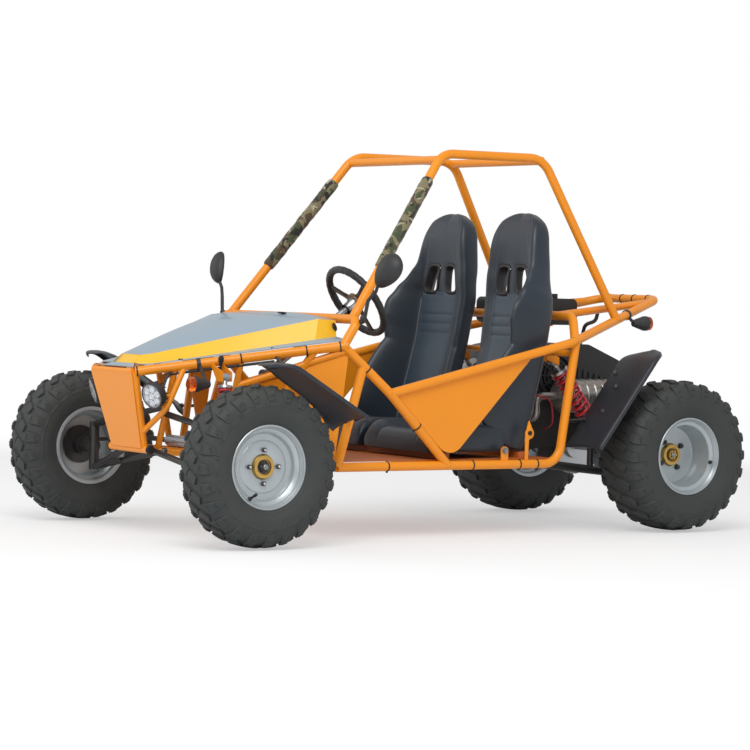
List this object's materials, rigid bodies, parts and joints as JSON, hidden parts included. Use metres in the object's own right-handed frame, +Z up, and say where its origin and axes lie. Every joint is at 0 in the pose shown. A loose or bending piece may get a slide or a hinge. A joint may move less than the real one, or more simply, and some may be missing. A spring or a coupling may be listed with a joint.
{
  "type": "dune buggy",
  "caption": "Open two-seat dune buggy: welded tube frame with roll cage, folded hood, bucket seats, knobbly tyres, steered front wheels and a driven rear axle.",
  "frame": {"origin": "on the ground under the middle of the vehicle", "axes": "+X forward along the length, +Y to the driver's left, +Z up"},
  "size_m": [2.3759, 1.402, 1.35],
  "materials": {
    "frame_paint": "gloss orange paint",
    "hood_cover": "yellow moulded cover with a dark top",
    "black_steel": "satin black paint",
    "seat_vinyl": "grained black vinyl",
    "fender_plastic": "matt black moulding",
    "tyre": "matt rubber",
    "rim_silver": "silver paint on pressed steel",
    "hub_zinc": "yellow zinc plating",
    "spring_red": "red powder coat",
    "damper_steel": "plated steel",
    "engine_metal": "dark cast metal",
    "shroud_plastic": "black moulding",
    "muffler_metal": "ribbed bright metal",
    "lens_clear": "clear lens",
    "lens_amber": "amber lens",
    "sleeve_cloth": "printed woven sleeve",
    "axle_steel": "turned steel",
    "wheel_grip": "soft black grip",
    "floor_paint": "dark orange paint"
  },
  "bodies": {
    "chassis": {"floor_rails": "frame_paint", "upper_rails": "frame_paint", "side_braces": "frame_paint", "hood_rails": "frame_paint", "dash_hoop": "frame_paint", "roof_hoops": "frame_paint", "cross_bars": "frame_paint", "rack_tubes": "frame_paint", "nose_frame": "frame_paint", "frame_brackets": "frame_paint", "floor_pan": "floor_paint", "side_panels": "frame_paint", "front_panel": "frame_paint", "hood": "hood_cover", "steering_column": "damper_steel", "front_arms": "black_steel", "dampers": "damper_steel", "springs": "spring_red", "swing_arm": "black_steel", "engine": "engine_metal", "engine_shroud": "shroud_plastic", "muffler": "muffler_metal", "fuel_tank": "shroud_plastic", "lamp_bodies": "shroud_plastic", "headlamp_lenses": "lens_clear", "turn_lenses": "lens_amber", "mirrors": "shroud_plastic", "pedals": "black_steel", "seat_cushion_left": "seat_vinyl", "seat_cushion_right": "seat_vinyl", "seat_back_left": "seat_vinyl", "seat_back_right": "seat_vinyl", "pillar_sleeves": "sleeve_cloth", "front_fenders": "fender_plastic", "rear_fenders": "fender_plastic"},
    "steering_wheel": {"steering_wheel": "wheel_grip"},
    "steering_rack": {"steering_rack": "black_steel"},
    "knuckle_left": {"knuckle_left": "black_steel"},
    "knuckle_right": {"knuckle_right": "black_steel"},
    "wheel_front_left": {"tyre_front_left": "tyre", "rim_front_left": "rim_silver", "hub_front_left": "hub_zinc"},
    "wheel_front_right": {"tyre_front_right": "tyre", "rim_front_right": "rim_silver", "hub_front_right": "hub_zinc"},
    "rear_axle": {"rear_tyres": "tyre", "rear_rims": "rim_silver", "rear_hubs": "hub_zinc", "axle_shaft": "axle_steel", "sprocket": "axle_steel"}
  },
  "joints": [
    {"name": "steer_left", "type": "hinge", "parent": "chassis", "child": "knuckle_left", "pos_m": [0.918, 0.525, 0.27], "axis": [0, 0, 1], "range_deg": [-25, 25]},
    {"name": "steer_right", "type": "hinge", "parent": "chassis", "child": "knuckle_right", "pos_m": [0.918, -0.525, 0.27], "axis": [0, 0, 1], "range_deg": [-25, 25]},
    {"name": "rack_slide", "type": "slide", "parent": "chassis", "child": "steering_rack", "axis": [0, 1, 0], "range_m": [-0.0355, 0.0355]},
    {"name": "steering_wheel_turn", "type": "hinge", "parent": "chassis", "child": "steering_wheel", "pos_m": [0.29799, 0.2225, 0.80999], "axis": [-0.8192, 0, 0.5736], "range_deg": [-101, 101]},
    {"name": "spin_front_left", "type": "hinge", "parent": "knuckle_left", "child": "wheel_front_left", "pos_m": [0.918, 0.615, 0.27], "axis": [0, 1, 0], "continuous": true},
    {"name": "spin_front_right", "type": "hinge", "parent": "knuckle_right", "child": "wheel_front_right", "pos_m": [0.918, -0.615, 0.27], "axis": [0, 1, 0], "continuous": true},
    {"name": "spin_rear_axle", "type": "hinge", "parent": "chassis", "child": "rear_axle", "pos_m": [-0.912, 0, 0.276], "axis": [0, 1, 0], "continuous": true}
  ],
  "couplings": [
    {"joint": "steer_right", "follows": "steer_left", "ratio": 1},
    {"joint": "rack_slide", "follows": "steer_left", "m_per_rad": -0.08},
    {"joint": "steering_wheel_turn", "follows": "steer_left", "ratio": 4}
  ]
}
